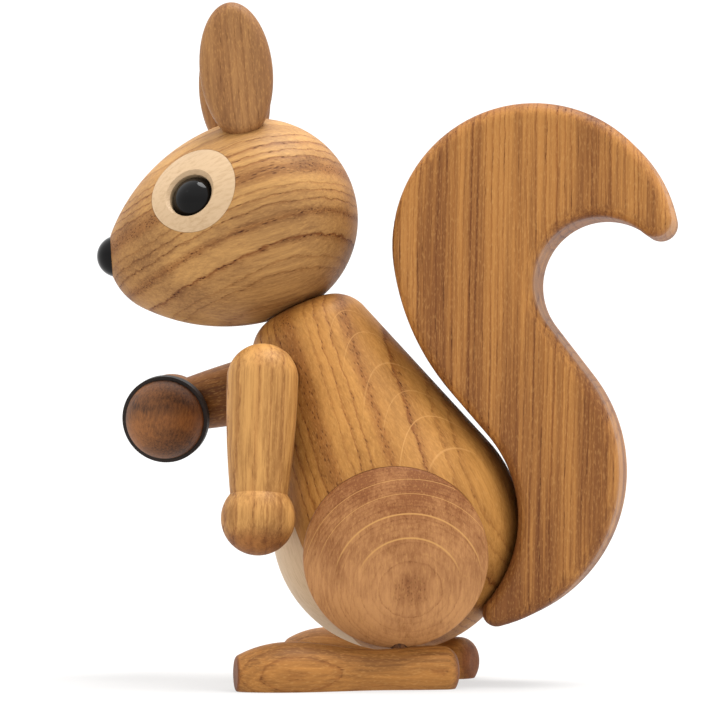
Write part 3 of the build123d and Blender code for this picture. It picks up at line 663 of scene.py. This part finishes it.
class SQUIRREL_OT_limbs(Operator):
    """Finish the arms and feet"""
    bl_idname = "squirrel.limbs"
    bl_label = "Arms and feet"

    def execute(self, context):
        grain = context.scene.squirrel_limbs
        hanging_left = FORWARD.cross(LEFT_ARM_AXIS)
        hanging_right = FORWARD.cross(RIGHT_ARM_AXIS)
        raised_right = hanging_right * cos(grain.raised) + FORWARD * sin(grain.raised)
        # The right arm takes the darker board, which is painted shade
        for name, way, across, board in (
            ("left", hanging_left, Vector(grain.left_across), (grain.wood, grain.light)),
            ("right", raised_right, Vector(grain.right_across), (grain.shaded_right_wood, grain.shaded_right_light)),
        ):
            dress(f"{name}_arm", oak(
                f"oak_{name}_arm", board, way, across, middle(f"{name}_arm") + across * grain.pith_aside,
                grain.ring_width / MM, run=30, wander=0.8, end_grain=0.75, lines=0.8, streaks=1.4,
                end_facing=(0.2, 0.7), one_end=True))
        splay = grain.foot_splay
        for name, side in SIDES.items():
            toes = FORWARD * cos(splay) + SIDEWAYS * side * sin(splay)
            outward = SIDEWAYS * side * cos(splay) - FORWARD * sin(splay)
            dress(f"{name}_foot", oak(
                f"oak_{name}_foot", (grain.foot_wood, grain.foot_light), toes, outward,
                middle(f"{name}_foot") - outward * grain.foot_pith_inside, grain.foot_ring_width / MM,
                run=14, wander=0.35, end_grain=0.9, lines=0.6))
        return {"FINISHED"}


class AcornFinish(PropertyGroup):
    """Dark wood of the acorn's nut and cap."""
    nut: StringProperty(name="Nut", description="sRGB colour of the nut's wood", default="#8b572c")
    nut_dark: StringProperty(
        name="Nut bands", description="sRGB colour of its dark bands", default="#3c2210")
    nut_along: FloatVectorProperty(
        name="Nut along", description="Along the nut's grain", default=(0.15, 0.2, 1),
        subtype="DIRECTION")
    cap: StringProperty(name="Cap", description="sRGB colour of the stained cap", default="#2a1f19")
    cap_dark: StringProperty(
        name="Cap pores", description="sRGB colour of its deep grain", default="#120d0a")


# Changes in a millimetre: fibres are 0.4 mm apart and 1.4 mm long, bands 17 mm apart and 5 mm long
FIBRE_RATE = (2.6, 2.6, 0.7)
BAND_RATE = (0.06, 0.06, 0.2)
# A way that lies along no fibres here, to turn their frame by
FIBRE_ASIDE = (0, 0.3, 1)


def fibrous(name, light_hex, dark_hex, roughness, grain=UP, centre=(0, 0, 0)):
    """Close-grained wood, stained or bare, or worn rubber: short dull marks one way, and darker bands."""
    material, tree = new_material(name)
    log = log_place(tree, log_frame(grain, FIBRE_ASIDE), centre)
    fibre_place = node(tree, "VectorMath", {0: log, 1: FIBRE_RATE}, operation="MULTIPLY")
    fibre = node(tree, "TexNoise", {
        "Vector": fibre_place, "Scale": 1.0, "Detail": 4.0, "Roughness": 0.75,
    })
    band_place = node(tree, "VectorMath", {0: log, 1: BAND_RATE}, operation="MULTIPLY")
    band = node(tree, "TexNoise", {"Vector": band_place, "Scale": 1.0, "Detail": 2.0})
    both = node(tree, "Math", {0: fibre.outputs["Fac"], 1: band.outputs["Fac"]}, operation="ADD")
    amount = node(tree, "MapRange", {"Value": both, "From Min": 0.78, "From Max": 1.25})
    colour = node(tree, "Mix", {
        0: amount, 6: linear(dark_hex), 7: linear(light_hex),
    }, data_type="RGBA")
    relief = node(tree, "Bump", {
        "Height": fibre.outputs["Fac"], "Strength": 0.3, "Distance": 0.1 * MM,
    })
    surface = node(tree, "BsdfPrincipled", {
        "Base Color": colour.outputs[2], "Roughness": roughness, "Normal": relief,
        "IOR": OILED_WOOD_IOR, "Specular IOR Level": 0.3,
    })
    node(tree, "OutputMaterial", {"Surface": surface})
    return material


class SQUIRREL_OT_acorn(Operator):
    """Finish the acorn in the right hand"""
    bl_idname = "squirrel.acorn"
    bl_label = "Acorn"

    def execute(self, context):
        look = context.scene.squirrel_acorn
        dress("acorn_nut", fibrous(
            "walnut_nut", look.nut, look.nut_dark, roughness=0.6, grain=look.nut_along,
            centre=middle("acorn_nut")))
        dress("acorn_cap", fibrous(
            "black_stained_cap", look.cap, look.cap_dark, roughness=0.6, grain=SIDEWAYS,
            centre=middle("acorn_cap")))
        return {"FINISHED"}


class FittingsFinish(PropertyGroup):
    """Plain dowels and rings, most of them hidden."""
    dowel: StringProperty(
        name="Dowels", description="sRGB colour of the beech dowels", default="#c9a277")
    dowel_dark: StringProperty(
        name="Dowel flecks", description="sRGB colour of the beech's flecks", default="#a67d52")
    # Painted shade: the ankle dowels are drawn dark brown so that they pass for the shade in the gap
    # between a haunch and its foot
    ankle_gap_shade: StringProperty(
        name="Stain", description="sRGB colour of the stained ankle dowels", default="#8b572c")
    ankle_gap_shade_dark: StringProperty(
        name="Stain bands", description="sRGB colour of their dark bands", default="#3c2210")
    rubber: StringProperty(
        name="Rings", description="sRGB colour of the rubber rings", default="#242220")
    rubber_dark: StringProperty(
        name="Ring marks", description="sRGB colour of their worn marks", default="#141312")


class SQUIRREL_OT_fittings(Operator):
    """Finish the dowels and friction rings"""
    bl_idname = "squirrel.fittings"
    bl_label = "Dowels and rings"

    def execute(self, context):
        look = context.scene.squirrel_fittings
        beech = fibrous("beech_dowel", look.dowel, look.dowel_dark, roughness=0.6)
        # Dark brown dowels as painted shade in the gap between haunch and foot
        stained = fibrous("gap_shade_ankle_dowel", look.ankle_gap_shade, look.ankle_gap_shade_dark, roughness=0.7)
        rubber = fibrous("rubber_ring", look.rubber, look.rubber_dark, roughness=0.8)
        for name in frame["nodes"]:
            if name.endswith("_shoulder_dowel"):
                # Their front shows beside the arms, so they are of the body's oak
                dress(name, frame["nodes"]["body"].material_slots[0].material)
            elif name.endswith("_ankle_dowel"):
                dress(name, stained)
            elif name.endswith("_dowel") or name == "acorn_pin":
                dress(name, beech)
            elif name.endswith("_ring"):
                dress(name, rubber)
        return {"FINISHED"}


class StageLook(PropertyGroup):
    """Floor, light and camera."""
    floor: StringProperty(
        name="Floor", description="sRGB colour of the floor; the bright light turns it white",
        default="#8e8d8c")
    floor_glow: FloatProperty(
        name="Floor glow", description="Light through the floor, which keeps shadows pale",
        default=0.58)
    floor_half: FloatProperty(
        name="Floor half", description="From the floor's middle to its edges",
        default=3.0, unit="LENGTH")
    horizon: FloatProperty(name="Horizon", description="Light from the white walls around", default=1.18)
    ceiling: FloatProperty(name="Ceiling", description="Light from overhead", default=1.5)
    key_strength: FloatProperty(name="Key", description="Strength of the overhead softbox", default=3.2)
    key_spread: FloatProperty(
        name="Key spread", description="How wide the softbox looks from the figure",
        default=radians(36), subtype="ANGLE")
    key_way: FloatVectorProperty(
        name="Key way", description="Towards the softbox from the figure", default=(0.25, 0.1, 0.95),
        subtype="DIRECTION")
    camera_distance: FloatProperty(
        name="Camera distance", description="From the figure's middle", default=0.6, unit="LENGTH")
    camera_azimuth: FloatProperty(
        name="Camera azimuth", description="Towards the tail from square on",
        default=radians(9.5), subtype="ANGLE")
    camera_elevation: FloatProperty(
        name="Camera elevation", description="Above level", default=radians(-1.06), subtype="ANGLE")
    camera_lens: FloatProperty(
        name="Lens", description="Focal length in millimetres", default=167.6, unit="CAMERA")
    camera_sensor: FloatProperty(
        name="Sensor", description="Width of the sensor in millimetres", default=36, unit="CAMERA")
    target: FloatVectorProperty(
        name="Target", description="What the camera looks at",
        default=(-0.0048, 0, 0.0575), subtype="TRANSLATION")


WHITE = (1, 1, 1, 1)


def aim(thing, place, target):
    """Puts a light or camera at a place, looking at a target."""
    thing.location = place
    thing.rotation_euler = (Vector(target) - Vector(place)).to_track_quat("-Z", "Y").to_euler()


def make_floor(scene, look):
    """A pale floor that glows a little."""
    half = look.floor_half
    mesh = bpy.data.meshes.new("floor")
    mesh.from_pydata(
        [(-half, -half, 0), (half, -half, 0), (half, half, 0), (-half, half, 0)], [], [(0, 1, 2, 3)])
    floor = bpy.data.objects.new("floor", mesh)
    scene.collection.objects.link(floor)
    material, tree = new_material("white_floor")
    paper = node(tree, "BsdfDiffuse", {"Color": linear(look.floor)})
    lit = node(tree, "Emission", {"Color": WHITE, "Strength": look.floor_glow})
    surface = node(tree, "AddShader", {0: paper, 1: lit})
    node(tree, "OutputMaterial", {"Surface": surface})
    mesh.materials.append(material)


def make_room(scene, look):
    """White walls around, and a brighter ceiling."""
    world = bpy.data.worlds.new("studio")
    world.use_nodes = True
    tree = world.node_tree
    tree.nodes.clear()
    place = node(tree, "TexCoord")
    height = node(tree, "SeparateXYZ", {0: place.outputs["Generated"]})
    sky = node(tree, "MapRange", {
        "Value": height.outputs["Z"], "From Min": 0.15, "From Max": 0.8,
        "To Min": look.horizon, "To Max": look.ceiling,
    }, interpolation_type="SMOOTHSTEP")
    glow = node(tree, "Background", {"Color": WHITE, "Strength": sky})
    node(tree, "OutputWorld", {"Surface": glow})
    scene.world = world


def make_softbox(scene, look):
    """One wide softbox overhead."""
    light = bpy.data.lights.new("softbox", "SUN")
    light.energy = look.key_strength
    light.angle = look.key_spread
    lamp = bpy.data.objects.new("softbox", light)
    target = Vector(look.target)
    aim(lamp, target + Vector(look.key_way), target)
    scene.collection.objects.link(lamp)


def make_camera(scene, look):
    """The camera, at the figure's left and a little to its rear."""
    camera = bpy.data.cameras.new("camera")
    camera.lens = look.camera_lens
    camera.sensor_width = look.camera_sensor
    camera.clip_start = 0.01
    view = bpy.data.objects.new("camera", camera)
    level = cos(look.camera_elevation)
    way = Vector((
        sin(look.camera_azimuth) * level, -cos(look.camera_azimuth) * level,
        sin(look.camera_elevation)))
    target = Vector(look.target)
    aim(view, target + way * look.camera_distance, target)
    scene.collection.objects.link(view)
    scene.camera = view


class SQUIRREL_OT_stage(Operator):
    """Make the floor, lights and camera"""
    bl_idname = "squirrel.stage"
    bl_label = "Stage"

    def execute(self, context):
        scene = context.scene
        for make in (make_floor, make_room, make_softbox, make_camera):
            make(scene, scene.squirrel_stage)
        scene.view_settings.view_transform = "Standard"
        return {"FINISHED"}


class SQUIRREL_PT_panel(Panel):
    """The steps, in order"""
    bl_idname = "SQUIRREL_PT_panel"
    bl_label = "Oak squirrel"
    bl_space_type = "VIEW_3D"
    bl_region_type = "UI"
    bl_category = "Squirrel"

    def draw(self, context):
        for step in STEPS:
            self.layout.operator(step.bl_idname)


GROUPS = {
    "squirrel_oak": OakFinish,
    "squirrel_inlay": InlayFinish,
    "squirrel_bead": BeadFinish,
    "squirrel_body": BodyGrain,
    "squirrel_tail": TailGrain,
    "squirrel_head": HeadGrain,
    "squirrel_limbs": LimbGrain,
    "squirrel_acorn": AcornFinish,
    "squirrel_fittings": FittingsFinish,
    "squirrel_stage": StageLook,
}
STEPS = (
    SQUIRREL_OT_body, SQUIRREL_OT_tail, SQUIRREL_OT_head, SQUIRREL_OT_limbs, SQUIRREL_OT_acorn,
    SQUIRREL_OT_fittings, SQUIRREL_OT_stage,
)


def register():
    for group in GROUPS.values():
        bpy.utils.register_class(group)
    for name, group in GROUPS.items():
        setattr(bpy.types.Scene, name, PointerProperty(type=group))
    for step in STEPS:
        bpy.utils.register_class(step)
    bpy.utils.register_class(SQUIRREL_PT_panel)


def unregister():
    bpy.utils.unregister_class(SQUIRREL_PT_panel)
    for step in reversed(STEPS):
        bpy.utils.unregister_class(step)
    for name, group in GROUPS.items():
        delattr(bpy.types.Scene, name)
        bpy.utils.unregister_class(group)


def main():
    register()
    for step in STEPS:
        group, name = step.bl_idname.split(".")
        getattr(getattr(bpy.ops, group), name)()


if __name__ == "__main__":
    main()
